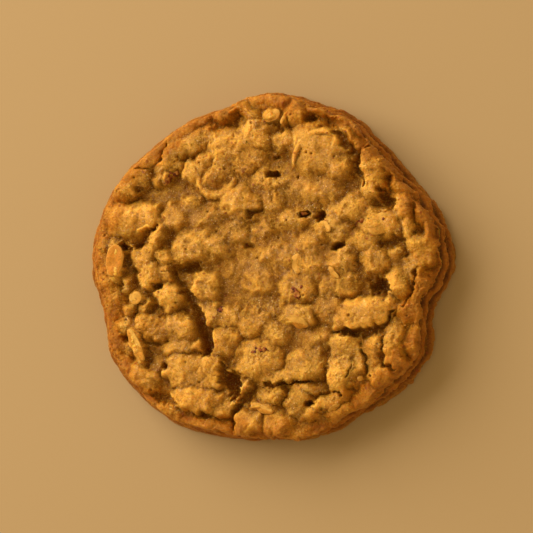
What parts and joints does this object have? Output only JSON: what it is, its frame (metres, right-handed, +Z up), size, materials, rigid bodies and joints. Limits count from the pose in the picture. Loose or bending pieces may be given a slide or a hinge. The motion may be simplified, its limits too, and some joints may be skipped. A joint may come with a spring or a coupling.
{
  "type": "oatmeal pecan cookie",
  "caption": "Round thick drop cookie with a craggy oat and nut top, a ridged browned side wall and a flat baked underside.",
  "frame": {"origin": "on the flat underside, at the middle of the cookie's box", "axes": "+Z up out of the craggy top, +X along the widest way across, towards the knobbed rim, +Y towards the top of the picture"},
  "size_m": [0.0848, 0.079, 0.0148],
  "materials": {
    "baked_dough": "matte golden brown crumb, browner at the rim"
  },
  "bodies": {
    "root": {"cookie": "baked_dough"}
  },
  "joints": []
}
